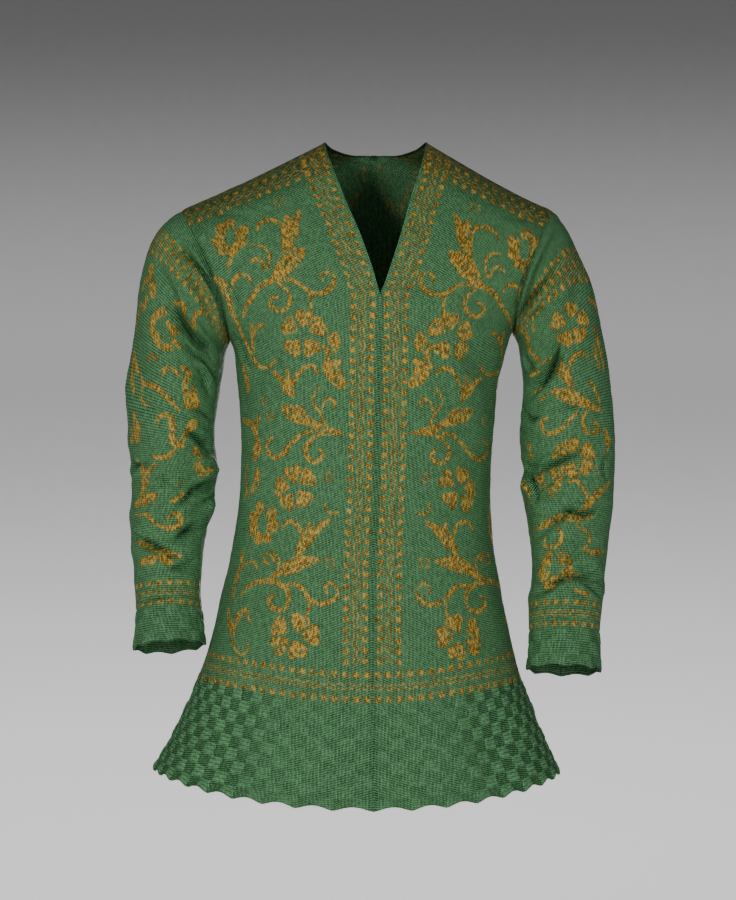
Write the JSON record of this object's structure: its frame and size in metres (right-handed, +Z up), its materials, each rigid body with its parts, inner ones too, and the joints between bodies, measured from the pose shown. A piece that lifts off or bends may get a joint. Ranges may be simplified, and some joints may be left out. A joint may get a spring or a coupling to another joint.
{
  "type": "knitted jacket",
  "caption": "Hip-length knitted jacket worn open at a V neck, with long sleeves, a flared basket-knit hem and cuffs, floral knitted pattern and striped borders.",
  "frame": {"origin": "middle of the neck, level with the two points where the shoulder seams meet the neck edge, where the wearer's shoulders hold the jacket up", "axes": "+Z up, the height of the jacket; -Y to the front; +X to the wearer's left, so that the sleeves hang along both sides"},
  "size_m": [0.5297, 0.2916, 0.706],
  "materials": {
    "front_right_knit": "green silk knitted in the round, brocaded with gilt thread; the basket-knit hem and cuffs are plain green",
    "front_left_knit": "green silk knitted in the round, brocaded with gilt thread; the basket-knit hem and cuffs are plain green",
    "back_knit": "green silk knitted in the round, brocaded with gilt thread; the basket-knit hem and cuffs are plain green",
    "sleeve_right_knit": "green silk knitted in the round, brocaded with gilt thread; the basket-knit hem and cuffs are plain green",
    "sleeve_left_knit": "green silk knitted in the round, brocaded with gilt thread; the basket-knit hem and cuffs are plain green"
  },
  "bodies": {
    "root": {"front_right": "front_right_knit", "front_left": "front_left_knit", "back": "back_knit", "sleeve_right": "sleeve_right_knit", "sleeve_left": "sleeve_left_knit"}
  },
  "joints": []
}
